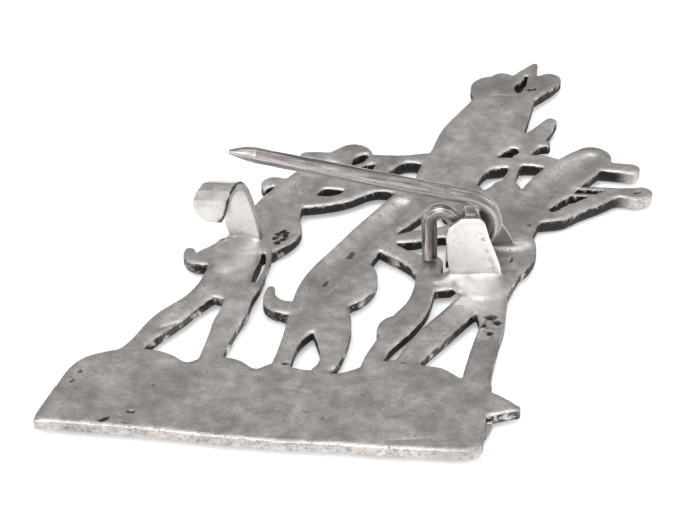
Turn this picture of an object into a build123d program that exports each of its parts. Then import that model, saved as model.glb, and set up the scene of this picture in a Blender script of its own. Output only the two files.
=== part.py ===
from build123d import *
import math
import os

os.makedirs("parts", exist_ok=True)

# Driving sizes, mm. The badge lies front down: x along the ground strip, y up the badge, z out of its back.
BACK = 2.0              # flat back above the surface the front relief rests on
EDGE = 1.25             # metal thickness at the cut-out edges
WIRE = 1.62             # pin wire diameter
GAP = 0.35              # free space between the pin's tail foot and the back
STRAP = 0.5             # hinge strap thickness
CROWN = 0.35            # crown of the strap's arch, from the pin's centre line
RIBBON = 1.0            # catch ribbon thickness
CATCH_TURN = -20        # the catch faces this far round from square to the pin, degrees
CATCH_STEPS = 16        # sections along the catch
CROSS_ANGLE = 6.8       # the pin crosses the badge at this angle to the ground strip, degrees
TAIL_FOOT = (35.05, 28.75)
LOW = BACK - EDGE       # the cut-out edges reach down to here
ROOT = 0.3              # relief starts this far inside the plate
CUT = 0.5               # cutters pass this far beyond the metal
STRAP_REACH = 10        # the strap's arch is cut from a bar this long
LEG_REACH = 4           # each leg of the strap lies within this distance of its crown

# The ground strip: wavy top edge and bottom edge at each x
GROUND = [  # x, top, bottom
    (0.0, 1.0, 0.0), (0.5, 3.2, 0.02), (1.1, 5.4, 0.05), (1.9, 8.2, 0.08), (3.0, 9.75, 0.1), (4.4, 10.6, 0.12),
    (6.4, 11.4, 0.12), (8.8, 11.6, 0.12), (10.6, 11.35, 0.1), (11.8, 10.8, 0.06), (13.0, 10.15, 0.0),
    (14.2, 10.9, -0.05), (16.6, 11.3, -0.1), (18.4, 10.85, -0.15), (19.8, 10.0, -0.18), (21.2, 10.9, -0.2),
    (23.4, 10.55, -0.18), (25.6, 10.3, -0.1), (27.6, 10.15, 0.0), (29.8, 11.35, 0.15), (31.8, 12.4, 0.1),
    (33.6, 12.9, 0.15), (36.2, 12.35, 0.3), (37.8, 12.2, 0.38), (39.0, 11.45, 0.42), (40.2, 10.65, 0.5),
    (41.6, 10.0, 0.75), (42.3, 9.8, 1.3), (42.6, 9.6, 2.4),
]

# Limbs, bodies and poles: centreline and half width of each section, all (x, y, half)
SPUR = [(40.8, 7.4, 2.2), (42.8, 7.5, 1.75), (44.5, 7.35, 0.95), (45.35, 7.2, 0.45)]

LEFT_FIGURE = {
    "hind_leg": [(7.0, 10.8, 1.1), (8.1, 13.1, 0.95), (9.2, 15.3, 1.25), (10.5, 17.3, 1.35), (11.8, 19.2, 1.15),
                 (13.0, 21.2, 1.3), (14.2, 23.6, 1.9)],
    "fore_leg": [(15.2, 10.3, 1.2), (15.35, 12.6, 1.1), (15.65, 14.9, 1.2), (15.95, 16.8, 1.35), (16.4, 18.6, 1.38),
                 (16.45, 20.2, 1.4), (16.7, 22.4, 1.65), (16.65, 25.4, 2.05), (16.9, 27.6, 1.9)],
    "trunk": [(15.0, 22.6, 2.4), (15.4, 26.2, 2.7), (16.0, 29.5, 2.5), (17.0, 33.0, 2.15), (18.4, 36.3, 2.3),
              (20.4, 39.8, 2.4), (22.8, 43.2, 2.35), (25.15, 46.25, 2.05)],
    "tail": [(14.3, 28.4, 1.9), (12.6, 27.0, 1.4), (11.3, 26.4, 1.05), (10.5, 26.75, 0.75), (10.3, 27.5, 0.55)],
    "arm": [(18.7, 28.9, 0.6), (19.4, 30.4, 1.2), (19.9, 32.2, 1.45), (19.8, 33.9, 1.15), (19.9, 35.6, 0.9)],
}

MIDDLE_FIGURE = {
    "hind_leg": [(22.1, 10.2, 1.0), (22.35, 12.6, 0.85), (22.7, 14.8, 1.0), (23.2, 16.5, 1.45), (23.9, 18.8, 1.9)],
    "fore_leg": [(26.1, 10.3, 0.9), (26.85, 12.4, 1.05), (26.85, 14.0, 1.35), (26.6, 16.0, 1.8), (26.3, 17.8, 1.95),
                 (25.8, 20.0, 1.9)],
    "trunk": [(24.6, 19.2, 2.6), (25.0, 22.3, 2.85), (25.9, 25.6, 2.7), (27.0, 28.6, 2.3), (28.3, 31.6, 2.15),
              (29.9, 34.6, 2.15), (31.6, 37.4, 2.3), (33.3, 40.2, 2.4)],
    "haunch": [(26.5, 21.5, 1.5), (28.0, 23.5, 1.8), (28.3, 25.4, 1.75), (27.9, 27.2, 1.2)],
    "tail": [(22.8, 19.6, 1.1), (21.1, 19.65, 1.02), (20.0, 20.2, 0.95), (19.55, 21.3, 0.62), (19.55, 22.35, 0.42)],
}

RIGHT_FIGURE = {
    "hind_leg": [(41.4, 9.8, 1.45), (41.35, 12.2, 1.35), (41.6, 14.6, 1.28), (41.85, 16.8, 1.22),
                 (42.15, 18.8, 1.22), (42.0, 20.8, 1.45), (41.6, 23.5, 1.85)],
    "fore_leg": [(34.1, 12.0, 1.15), (35.3, 14.8, 1.28), (36.8, 17.6, 1.45), (38.2, 20.0, 1.4), (39.6, 22.3, 1.5),
                 (41.0, 24.6, 1.8)],
    "far_leg": [(30.9, 11.0, 1.0), (31.15, 13.0, 0.95), (31.9, 15.2, 1.0), (32.8, 17.3, 1.35), (33.7, 19.3, 1.42),
                (34.5, 21.2, 1.25), (34.9, 23.5, 1.1), (35.1, 26.0, 1.2), (35.0, 28.3, 1.5)],
    "knee": [(33.2, 18.6, 1.3), (32.1, 17.9, 1.15), (31.85, 17.2, 1.0)],
    "tail": [(29.8, 31.3, 1.3), (31.6, 30.0, 1.15), (33.4, 28.7, 1.1), (34.8, 27.2, 1.2)],
    "trunk": [(41.0, 23.5, 2.35), (41.6, 27.0, 2.5), (42.6, 30.8, 2.6), (43.2, 34.4, 2.2), (44.2, 37.6, 2.0),
              (45.6, 40.6, 2.35), (47.2, 43.7, 2.5), (49.0, 46.4, 2.4), (50.9, 48.7, 2.15)],
    "haunch": [(43.0, 28.5, 1.7), (44.0, 30.6, 1.75), (44.2, 32.4, 1.6), (43.8, 34.0, 1.4)],
}

LITTER = {
    "low_pole_left": [(17.3, 39.9, 1.38), (19.0, 39.5, 1.6), (21.0, 39.3, 1.8)],
    "low_pole_mid": [(19.6, 37.6, 1.5), (22.5, 38.6, 1.95), (25.3, 40.1, 2.0), (28.0, 41.6, 1.75), (30.5, 41.3, 1.4),
                     (33.0, 40.9, 1.8), (35.5, 40.6, 2.2)],
    "low_pole_right": [(45.0, 37.3, 1.2), (46.6, 37.7, 0.9), (48.0, 38.1, 0.85), (49.4, 39.3, 0.8),
                       (50.8, 40.5, 0.88), (52.2, 41.6, 0.9), (53.9, 42.75, 0.82), (55.3, 42.75, 1.05),
                       (56.5, 43.0, 1.1)],
    "high_pole_left": [(20.1, 45.5, 0.75), (22.5, 45.6, 0.85), (24.5, 45.4, 1.0)],
    "high_pole_mid": [(25.5, 45.4, 1.0), (27.5, 45.5, 1.1), (28.8, 45.2, 1.5), (30.5, 46.1, 0.75), (32.5, 46.4, 1.0),
                      (34.0, 46.4, 1.3)],
    "high_pole_right": [(39.8, 46.4, 1.2), (42.0, 46.85, 0.8), (44.0, 47.45, 0.92), (46.5, 47.2, 1.2)],
    "high_pole_end": [(50.8, 47.4, 1.0), (53.0, 47.35, 0.85), (55.2, 47.2, 0.95)],
}

CROWNED_FORM = {
    "almond": [(35.0, 40.0, 2.4), (35.5, 43.0, 3.25), (36.9, 47.0, 3.65), (38.2, 50.2, 4.3), (39.2, 53.2, 4.15),
               (40.1, 56.2, 3.65), (40.7, 58.6, 3.3)],
    "crown_left": [(40.6, 59.4, 2.5), (39.3, 60.7, 2.58)],
    "crown_lobe": [(40.6, 60.6, 1.8), (40.25, 62.6, 1.48)],
    "crown_spike": [(41.8, 61.0, 2.1), (42.5, 62.9, 1.5), (43.2, 64.8, 0.9), (43.65, 66.1, 0.38)],
    "crown_right": [(42.4, 60.0, 1.8), (43.6, 61.3, 1.75), (44.7, 62.4, 1.55), (45.5, 63.3, 1.32)],
    "leaf": [(43.0, 49.4, 1.5), (43.7, 50.6, 1.5), (44.7, 52.1, 1.2), (45.5, 53.8, 0.9), (46.1, 55.1, 0.68)],
    "leaf_knob": [(44.8, 50.9, 0.8), (45.8, 50.8, 0.5)],
}

# Thin webs of cast metal left between the figures
WEBS = {
    "under_pin": [(28.2, 42.3, 0.9), (28.5, 44.6, 0.9)],
    "beside_tail": [(30.5, 31.9, 1.0), (33.2, 32.7, 0.95), (36.2, 33.8, 0.95), (38.0, 34.2, 1.5)],
    "bridge": [(35.4, 25.1, 1.3), (37.4, 25.6, 1.3), (39.4, 26.4, 1.9)],
    "seat": [(38.7, 27.5, 1.5), (38.4, 30.5, 1.8), (38.7, 34.0, 2.1), (38.0, 38.0, 2.6), (37.2, 40.5, 2.6)],
    "back_seat": [(40.5, 26.5, 2.4), (41.0, 31.0, 2.6), (41.4, 36.0, 2.6), (41.6, 40.0, 2.5), (42.0, 42.0, 1.6)],
    "high_right": [(42.2, 42.4, 1.0), (42.35, 44.3, 0.62), (42.7, 46.4, 0.6)],
    "pole_cross": [(50.0, 43.1, 0.22), (51.5, 43.3, 0.22), (53.6, 43.2, 0.4)],
    "pole_tie": [(48.8, 41.75, 0.2), (50.2, 42.0, 0.2), (51.5, 41.9, 0.25)],
}

# Small piercings inside the figures
PIERCINGS = {
    "left_flank": [(17.65, 23.4, 0.28), (17.85, 25.0, 0.4), (18.05, 26.6, 0.33), (17.95, 27.8, 0.2)],
    "pole_end_slit": [(15.6, 37.55, 0.3), (16.5, 38.4, 0.33), (17.3, 39.4, 0.12)],
    "eye": [(22.3, 38.7, 0.25), (23.0, 39.1, 0.65), (24.0, 39.3, 0.5), (24.8, 39.65, 0.15)],
    "above_pin_left": [(25.35, 44.6, 0.25), (25.8, 45.4, 0.6), (26.4, 46.1, 0.4)],
    "above_pin_right": [(26.3, 44.15, 0.18), (27.0, 44.3, 0.36), (27.5, 44.6, 0.22)],
    "tail_upper": [(31.35, 32.95, 0.15), (32.5, 33.85, 0.4), (33.9, 34.7, 0.7), (35.6, 35.7, 0.85)],
    "tail_lower": [(31.6, 31.15, 0.2), (32.8, 30.9, 0.7), (34.3, 30.75, 1.15), (35.6, 31.25, 0.95)],
    "strap_side": [(36.95, 29.1, 0.12), (36.95, 28.0, 0.35), (36.87, 26.95, 0.5)],
    "haunch_front": [(38.75, 25.2, 0.42), (38.3, 24.1, 0.7), (37.6, 23.1, 0.65), (36.7, 21.8, 0.5)],
    "form_upper": [(40.85, 47.75, 0.2), (41.7, 48.3, 0.5), (42.4, 48.95, 0.6)],
    "form_lower": [(39.5, 43.3, 0.45), (40.4, 44.3, 0.85), (41.3, 45.1, 0.72), (41.7, 45.5, 0.4)],
    "form_right": [(43.35, 43.8, 0.35), (43.8, 44.9, 0.65), (44.35, 45.8, 0.68), (45.0, 46.1, 0.35)],
    "pole_slot": [(47.1, 38.95, 0.38), (47.9, 39.8, 0.42), (48.8, 40.7, 0.5), (49.7, 41.3, 0.38), (50.3, 41.6, 0.15)],
    "crown_void": [(42.15, 60.6, 0.35), (42.25, 61.4, 0.58), (42.7, 62.6, 0.3), (42.85, 63.5, 0.2)],
}

# Hollows in the backs of the bodies, behind the raised relief
HOLLOWS = {  # rows (x, y, half) and depth
    "left": ([(18.9, 37.5, 1.2), (20.8, 40.7, 1.4), (22.9, 43.6, 1.3)], 0.3),
    "middle": ([(24.6, 24.4, 1.3), (26.0, 27.6, 1.6), (27.7, 31.2, 1.55), (29.6, 34.7, 1.45), (31.3, 37.6, 1.2)], 0.45),
    "right": ([(43.9, 38.4, 1.0), (45.6, 41.2, 1.5), (47.4, 44.2, 1.6), (49.4, 46.9, 1.5), (50.7, 48.5, 1.1)], 0.4),
}

# Rounded forms narrow through these levels
PANEL_LEVELS = [(LOW + ROOT, 1.0), (0.0, 0.86)]                   # height, share of the width
FIGURE_LEVELS = [(LOW + ROOT, 0.86), (0.4, 0.72), (0.15, 0.4)]    # height, share of the width
ALMOND_LEVELS = [(LOW + ROOT, 0.88), (0.3, 0.78), (0.0, 0.5)]     # height, share of the width
CROWN_LEVELS = [(LOW + ROOT, 0.8), (0.3, 0.6)]                    # height, share of the width
HOLLOW_LEVELS = [(0.6, 0.82), (1.0, 0.4)]                         # share of the depth, share of the width
HOLLOW_MOUTH = (0.2, 1.06)                                        # above the back, share of the width
SOLDER_LEVELS = [(0.55, 0.86), (1.0, 0.5)]                        # share of the height, share of the width
SOLDER_ROOT = (0.25, 1.04)                                        # below the back, share of the width

# The hidden front of the ground strip is a low rounded panel, (x, y, half)
FRONT_PANEL = [(3.6, 4.9, 3.2), (12.0, 5.3, 4.3), (22.0, 5.1, 4.5), (32.0, 5.9, 4.9), (39.4, 5.4, 3.9)]

# The hinge strap over the pin: profile along the arch and its two side edges, measured from the tail foot
STRAP_ROWS = [  # along (across the tunnel), rise, left edge, right edge
    (-2.95, -0.25, 2.1, 7.5), (-2.85, 1.5, 1.8, 7.0), (-2.5, 3.4, 1.65, 6.3), (-2.0, 5.1, 2.1, 5.6),
    (-1.15, 6.2, 3.45, 4.9), (0.35, 6.55, 3.5, 4.5), (1.3, 5.95, 3.4, 5.4), (1.95, 4.3, 3.2, 6.8),
    (2.3, 2.1, 3.3, 8.1), (2.65, -0.25, 3.6, 9.0),
]

# The catch: a ribbon bent up from its foot and curled over towards the ground strip
CATCH_ROWS = [  # along the pin, across it, rise, half width and the width's turn down from level, degrees
    (-18.85, 3.75, -0.3, 1.8, 0), (-19.35, 3.7, 2.2, 1.85, 8), (-19.92, 3.77, 4.6, 1.85, 11),
    (-20.22, 3.68, 5.75, 1.83, 12), (-20.65, 3.2, 7.0, 1.86, 12), (-21.2, 2.4, 7.62, 1.9, 13),
    (-21.75, 1.75, 7.4, 1.98, 13), (-22.15, 1.45, 6.6, 2.0, 11), (-22.3, 1.38, 5.75, 1.9, 10),
    (-22.22, 1.3, 4.9, 1.5, 9), (-22.0, 1.2, 4.25, 0.95, 8),
]

# Pools of solder that hold the strap and the catch: (x, y, half) rows and height above the back
SOLDER = {
    "strap_front": ([(38.9, 24.9, 1.2), (40.3, 24.7, 2.0), (41.9, 25.2, 1.7)], 0.4),
    "strap_left": ([(36.2, 25.6, 0.6), (37.6, 26.4, 0.9), (38.6, 26.8, 1.0)], 0.3),
    "strap_back": ([(41.0, 32.6, 1.1), (43.2, 32.8, 1.35), (44.5, 33.0, 0.95)], 0.55),
    "catch": ([(13.9, 28.2, 1.1), (15.3, 28.4, 1.7), (16.6, 28.6, 1.4)], 0.45),
    "catch_front": ([(14.2, 25.6, 1.3), (15.2, 27.2, 1.9), (15.8, 28.4, 1.6)], 0.25),
}

# The pin's centre line seen from the side, (along, rise) from the foot of its tail
TAIL_TOP = (-0.14, 5.15)
BEND_END = (1.85, 5.98)
LOOP = [(2.75, 4.95), (3.4, 4.1), (4.15, 3.35), (5.05, 2.9), (5.95, 3.25), (6.45, 4.25), (6.48, 5.4), (6.1, 6.5),
        (5.4, 7.35), (4.4, 7.95), (3.0, 8.38)]
PIN_START = (1.6, 8.68)
PIN_TIP = (-20.2, 13.92)
POINT = [(0.0, 0.0, 0.79), (0.9, 0.03, 0.7), (1.8, 0.1, 0.5), (2.6, 0.2, 0.24)]  # along the taper, drop, radius


def rims(rows, scale):
    """Points on both sides of a centreline table, with the two end caps."""
    left, right = [], []
    for i, (x, y, half) in enumerate(rows):
        before, after = rows[max(i - 1, 0)], rows[min(i + 1, len(rows) - 1)]
        run = math.hypot(after[0] - before[0], after[1] - before[1])
        tx, ty = (after[0] - before[0]) / run, (after[1] - before[1]) / run
        reach = half * scale
        left.append((x - ty * reach, y + tx * reach))
        right.append((x + ty * reach, y - tx * reach))
        if i == 0:
            start = (x - tx * reach, y - ty * reach)
        if i == len(rows) - 1:
            end = (x + tx * reach, y + ty * reach)
    return left, end, right, start


def outline(rows, z=0.0, scale=1.0):
    """Closed wire round a limb at height z, at a share of its width."""
    left, end, right, start = rims(rows, scale)
    side = Spline(*left) if len(left) > 2 else Line(*left)
    back = Spline(*reversed(right)) if len(right) > 2 else Line(right[1], right[0])
    cap = ThreePointArc(left[-1], end, right[-1])
    heel = ThreePointArc(right[0], start, left[0])
    return Pos(0, 0, z) * Wire([side, cap, back, heel])


def plate(rows, bottom, top):
    """Upright-walled slab with the outline of a limb."""
    return extrude(Face(outline(rows, bottom)), top - bottom, dir=(0, 0, 1))


def dome(rows, levels):
    """Rounded solid through outlines at (height, share of the width) levels."""
    return loft([Face(outline(rows, z, scale)) for z, scale in levels])


def ground_wire():
    """Closed wire round the ground strip."""
    upper = [(x, top) for x, top, bottom in GROUND]
    lower = [(x, bottom) for x, top, bottom in GROUND]
    ends = [Line(upper[-1], lower[-1]), Line(lower[0], upper[0])]
    return Wire([Spline(*upper), ends[0], Spline(*reversed(lower)), ends[1]])


flat = [Face(ground_wire()), Face(outline(SPUR))]
for group in (LEFT_FIGURE, MIDDLE_FIGURE, RIGHT_FIGURE, LITTER, CROWNED_FORM, WEBS):
    flat += [Face(outline(rows)) for rows in group.values()]
silhouette = flat[0].fuse(*flat[1:]).clean()
silhouette = silhouette.cut(*[Face(outline(rows)) for rows in PIERCINGS.values()])
plate_body = extrude(Pos(0, 0, LOW) * silhouette, EDGE, dir=(0, 0, 1))

# Plain rounded relief on the hidden front, low enough for the strip and the tall form to carry the badge
relief = [dome(FRONT_PANEL, PANEL_LEVELS), dome(CROWNED_FORM["almond"], ALMOND_LEVELS)]
for group in (LEFT_FIGURE, MIDDLE_FIGURE, RIGHT_FIGURE, LITTER):
    relief += [dome(rows, FIGURE_LEVELS) for rows in group.values()]
for name in ("crown_left", "crown_lobe", "crown_spike", "crown_right", "leaf"):
    relief.append(dome(CROWNED_FORM[name], CROWN_LEVELS))
casting = plate_body.fuse(*relief)
casting = casting.cut(*[plate(rows, -CUT, BACK + CUT) for rows in PIERCINGS.values()])
for rows, depth in HOLLOWS.values():
    mouth = (BACK + HOLLOW_MOUTH[0], HOLLOW_MOUTH[1])
    casting = casting.cut(dome(rows, [mouth] + [(BACK - share * depth, width) for share, width in HOLLOW_LEVELS]))
print("casting solids", len(casting.solids()), "volume", round(casting.volume, 1), "valid", casting.is_valid)

# The pin, the strap and the catch are set out from the tail foot: along the pin, across it, rise above the back
SEAT = Location((TAIL_FOOT[0], TAIL_FOOT[1], BACK), (0, 0, CROSS_ANGLE))


def between(rows, steps):
    """Evenly spaced rows along a table, read off smooth curves through its first three columns."""
    spine = Spline(*[row[:3] for row in rows])
    places = [spine.param_at_point(row[:3]) for row in rows]
    for i in range(steps + 1):
        u = i / steps
        after = next(k for k in range(1, len(rows)) if places[k] >= u - 1e-6)
        share = (u - places[after - 1]) / (places[after] - places[after - 1])
        rest = [a + (b - a) * share for a, b in zip(rows[after - 1][3:], rows[after][3:])]
        yield spine @ u, spine % u, rest


def catch_sections():
    """Rectangles across the catch ribbon, from its foot to its curled end."""
    turn = math.radians(CATCH_TURN)
    for centre, ahead, (half, tilt) in between(CATCH_ROWS, CATCH_STEPS):
        level, lift = math.cos(math.radians(tilt)), math.sin(math.radians(tilt))
        across = Vector(math.cos(turn) * level, math.sin(turn) * level, lift)
        through = ahead.cross(across).normalized()
        yield Plane(origin=centre, x_dir=across, z_dir=across.cross(through)) * Rectangle(2 * half, RIBBON)


def strap_leg(rows, way):
    """Block through the arch on one side of its crown, with the strap's two tapering edges as its sides."""
    crown = min(rows, key=lambda row: abs(row[0] - CROWN))
    rows = sorted(rows, key=lambda row: row[1])
    left = [(row[2], row[1]) for row in rows] + [(crown[2], crown[1] + STRAP)]
    right = [(row[3], row[1]) for row in rows] + [(crown[3], crown[1] + STRAP)]
    side = Wire([Spline(*left), Line(left[-1], right[-1]), Spline(*reversed(right)), Line(right[0], left[0])])
    return extrude(Pos(0, CROWN, 0) * (Plane.XZ * Face(side)), LEG_REACH, dir=(0, way, 0))


outer, inner = [], []
for i, (along, rise, left, right) in enumerate(STRAP_ROWS):
    before, after = STRAP_ROWS[max(i - 1, 0)], STRAP_ROWS[min(i + 1, len(STRAP_ROWS) - 1)]
    run, climb = after[0] - before[0], after[1] - before[1]
    size = math.hypot(run, climb)
    outer.append((along, rise))
    inner.append((along + climb / size * STRAP, rise - run / size * STRAP))
profile = Wire([Spline(*outer), Line(outer[-1], inner[-1]), Spline(*reversed(inner)), Line(inner[0], outer[0])])
arch = extrude(Plane.YZ * Face(profile), STRAP_REACH, dir=(1, 0, 0))
front_rows = [row for row in STRAP_ROWS if row[0] <= CROWN]
back_rows = [row for row in STRAP_ROWS if row[0] >= CROWN]
strap = SEAT * arch.intersect(strap_leg(front_rows, -1).fuse(strap_leg(back_rows, 1)))[0]

catch = SEAT * loft(list(catch_sections()), ruled=True)

pools = []
for rows, height in SOLDER.values():
    root = (BACK - SOLDER_ROOT[0], SOLDER_ROOT[1])
    pools.append(dome(rows, [root] + [(BACK + share * height, width) for share, width in SOLDER_LEVELS]))

badge = casting.fuse(strap, catch, *pools)
print("badge solids", len(badge.solids()), "volume", round(badge.volume, 1), "valid", badge.is_valid)

# The pin: one round wire bent into a tail, a loop through the strap and a long tapered pin
foot = Vector(0, 0, GAP)
tail = Line(foot, (TAIL_TOP[0], 0, TAIL_TOP[1]))
bend = TangentArc([tail @ 1, (BEND_END[0], 0, BEND_END[1])], tangent=tail % 1)
pin_start, pin_tip = Vector(PIN_START[0], 0, PIN_START[1]), Vector(PIN_TIP[0], 0, PIN_TIP[1])
aim = (pin_tip - pin_start).normalized()
shoulder = pin_tip - aim * POINT[-1][0]
loop = Spline(bend @ 1, *[(s, 0, z) for s, z in LOOP], pin_start, tangents=[bend % 1, aim])
path = Wire([tail, bend, loop, Line(pin_start, shoulder)])
wire = sweep(Plane(origin=foot, z_dir=tail % 0) * Circle(WIRE / 2), path=path)
rings = []
for along, drop, radius in POINT:
    rings.append(Plane(origin=shoulder + aim * along - Vector(0, 0, drop), z_dir=aim) * Circle(radius))
point = loft(rings, ruled=True)
pin = SEAT * wire.fuse(point)
print("pin solids", len(pin.solids()), "volume", round(pin.volume, 1), "valid", pin.is_valid)

# The origin is under the middle of the badge, on the surface that it lies on
box = badge.bounding_box()
to_middle = Pos(-box.center().X, -box.center().Y, -box.min.Z)
export_step(to_middle * badge, "parts/badge_plate.step")
export_step(to_middle * pin, "parts/pin_wire.step")
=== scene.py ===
import math

import bmesh
import bpy
import numpy as np
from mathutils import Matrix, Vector
from mathutils.bvhtree import BVHTree


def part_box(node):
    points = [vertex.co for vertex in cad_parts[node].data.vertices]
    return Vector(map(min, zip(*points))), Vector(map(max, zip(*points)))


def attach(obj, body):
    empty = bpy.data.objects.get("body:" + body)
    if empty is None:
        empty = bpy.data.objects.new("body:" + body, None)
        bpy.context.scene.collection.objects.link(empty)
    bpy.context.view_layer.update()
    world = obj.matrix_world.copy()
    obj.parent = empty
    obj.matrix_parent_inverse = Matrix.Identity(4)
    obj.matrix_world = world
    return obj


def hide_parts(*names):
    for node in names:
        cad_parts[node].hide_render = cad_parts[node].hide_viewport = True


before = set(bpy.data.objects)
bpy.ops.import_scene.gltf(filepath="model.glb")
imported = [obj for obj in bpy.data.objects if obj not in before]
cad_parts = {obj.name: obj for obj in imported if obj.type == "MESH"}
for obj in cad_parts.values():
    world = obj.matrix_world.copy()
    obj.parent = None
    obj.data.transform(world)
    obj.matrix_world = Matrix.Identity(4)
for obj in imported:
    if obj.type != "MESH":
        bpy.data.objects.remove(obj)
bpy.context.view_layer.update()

# The casting: openwork pewter poured in one piece and lying front down, so its filed flat back shows.
# The hinge strap and the catch are soft-soldered to it, so plate, strap, catch and solder are one skin.
# The flat back is filed and rubbed, and its piercings keep the rough black skin of the mould, deepened with painted
# shade where they are closed in.
MM = 0.001
BACK = 2.0                     # height of the flat back above the table, mm
STRIP_DIP = 0.2                # the ground strip's lower edge bows out this far below its left end, mm
VOXEL = 0.12                   # cell of the skin that joins plate, strap, catch and solder, mm
ROUNDING = 1                   # smoothing passes that round the filed edges
CASTING_TRIANGLES = 190000
FOOT = (35.05, 28.75)          # foot of the pin's tail on the plate, mm
CROSS_ANGLE = math.radians(6.8)
plate_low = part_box("badge_plate")[0]
corner = Vector((plate_low.x, plate_low.y + STRIP_DIP * MM, 0))

PITS = [  # x, y, half length, half width, turn in degrees, depth, all others mm
    (6.7, 0.95, 0.5, 0.24, 35, 0.3), (8.9, 2.25, 0.38, 0.16, 0, 0.16), (8.2, 1.5, 0.45, 0.12, 20, 0.06),
    (8.6, 0.7, 0.5, 0.13, -10, 0.07), (10.4, 6.3, 0.2, 0.14, 20, 0.08), (8.7, 6.3, 0.2, 0.1, 0, 0.06),
    (2.5, 5.9, 0.3, 0.2, 60, 0.1), (3.0, 7.5, 0.3, 0.2, 70, 0.1), (2.2, 6.6, 0.15, 0.1, 0, 0.08),
    (1.05, 0.8, 0.15, 0.1, 0, 0.07), (27.2, 3.4, 0.18, 0.14, 80, 0.1), (25.5, 4.3, 0.3, 0.12, 0, 0.07),
    (24.2, 5.2, 0.2, 0.12, 0, 0.05), (30.7, 7.2, 0.2, 0.15, 0, 0.08), (37.6, 5.3, 0.14, 0.12, 0, 0.07),
    (34.0, 12.4, 0.25, 0.12, 0, 0.1), (22.6, 10.9, 0.35, 0.16, 10, 0.14), (43.1, 2.6, 0.2, 0.14, 0, 0.1),
    (17.4, 6.2, 0.12, 0.1, 0, 0.05), (18.9, 4.4, 0.14, 0.1, 0, 0.05), (14.6, 4.0, 0.12, 0.1, 0, 0.05),
    (19.76, 31.53, 0.38, 0.27, 20, 0.3), (19.81, 30.96, 0.38, 0.27, 60, 0.3), (19.55, 30.24, 0.38, 0.27, 20, 0.3),
    (19.15, 29.79, 0.38, 0.27, 60, 0.3), (18.79, 30.44, 0.38, 0.27, 60, 0.3), (19.05, 31.16, 0.38, 0.27, 20, 0.3),
    (19.45, 31.61, 0.38, 0.27, 60, 0.3),
    (42.0, 20.2, 0.55, 0.4, 0, 0.3), (42.7, 19.4, 0.35, 0.3, 30, 0.22), (41.4, 18.9, 0.3, 0.25, 0, 0.18),
    (42.1, 17.8, 0.35, 0.3, 0, 0.2), (41.5, 16.5, 0.2, 0.14, 0, 0.08), (43.4, 29.7, 0.14, 0.5, -12, 0.22),
    (43.6, 60.9, 0.65, 0.2, 20, 0.25), (55.9, 42.8, 0.4, 0.13, 25, 0.2), (24.9, 24.0, 0.25, 0.6, -15, 0.1),
    (26.9, 29.0, 0.3, 0.7, -20, 0.1), (46.9, 41.4, 0.25, 0.18, 0, 0.09), (44.9, 35.8, 0.3, 0.16, 50, 0.09),
    (50.0, 48.4, 0.16, 0.12, 0, 0.06), (29.1, 36.0, 0.2, 0.14, 0, 0.06),
]
CREASES = [  # x, y at one end, x, y at the other, half width, depth, mm
    (9.3, 14.6, 11.2, 16.0, 0.22, 0.09), (25.3, 21.5, 26.5, 24.0, 0.2, 0.08), (26.5, 24.0, 28.7, 28.3, 0.22, 0.1),
    (26.8, 10.2, 27.5, 11.0, 0.16, 0.1), (39.2, 59.2, 41.6, 59.5, 0.18, 0.05), (12.4, 27.7, 13.9, 30.2, 0.22, 0.08),
    (20.2, 38.1, 21.6, 40.4, 0.2, 0.06), (33.4, 1.1, 37.9, 2.0, 0.1, 0.03), (22.0, 7.4, 26.0, 6.9, 0.12, 0.03),
]
CRUSTS = [(42.1, 19.2, 1.2, 2.0), (24.2, 7.2, 2.2, 0.8)]  # x, y, half widths of rough patches with grime in them, mm
POOLS = [  # x, y, half width of the bright solder that ran out over the back, mm
    (39.2, 24.6, 2.7), (41.2, 23.2, 2.0), (41.9, 25.8, 1.9), (37.2, 25.6, 1.2), (44.6, 32.2, 1.3), (43.4, 33.4, 1.0),
    (15.0, 26.6, 2.1), (15.4, 24.4, 1.5), (16.9, 28.6, 1.0), (14.0, 28.4, 1.1),
]
FRONT_LEG = [  # rise, left and right edge of the strap's front leg, its fuller left edge, mm from the tail's foot
    (-0.25, 2.1, 7.5, 2.1), (3.4, 1.65, 6.3, 1.65), (4.9, 2.03, 5.7, 1.72), (5.5, 2.55, 5.4, 1.85),
    (5.9, 3.05, 5.1, 2.1), (6.3, 3.47, 4.8, 2.6), (6.7, 3.5, 4.4, 3.1),
]
LEG_CORNER = (-1.65, 0.85, 0.42)  # across the pin, half width and lift of the bend where the tongue turns level, mm
BURRS = [  # dark seams along cut edges, (along, across, rise) from the tail's foot and half width, mm
    ([(-18.9, 3.0, 7.7), (-19.5, 1.95, 8.5), (-20.1, 0.85, 8.25), (-20.5, 0.35, 7.15), (-20.7, 0.28, 6.15),
      (-21.0, 0.33, 5.15), (-21.3, 0.41, 4.4)], 0.17),
    ([(-21.6, 0.45, 4.5), (-21.2, 0.45, 4.75)], 0.1),
]
FILLETS = [  # lines along which solder fills the corner under the strap and the catch, from the tail's foot, mm
    [(1.9, -2.95, 0.3), (7.6, -2.95, 0.3)], [(3.6, 2.65, 0.2), (9.0, 2.65, 0.2)],
    [(-17.0, 3.1, 0.3), (-20.6, 4.4, 0.3)],
]
PEWTER_LIGHT = "#dad5d2"
PEWTER_DARK = "#aca7a4"
PEWTER_GREEN = "#cccbc3"
# Black of the mould's skin and grime, also used as painted shade on closed-in walls and in creases.
BLACK_SKIN_AND_SHADE = "#141211"
SOLDER_BRIGHT = "#e4e1de"
SOLDER_DULL = "#c9c5c2"
LIT_SOLDER_WHITE = "#f7f5f2"
CUT_GREY_AND_SHADE = "#6f6b69"
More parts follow.
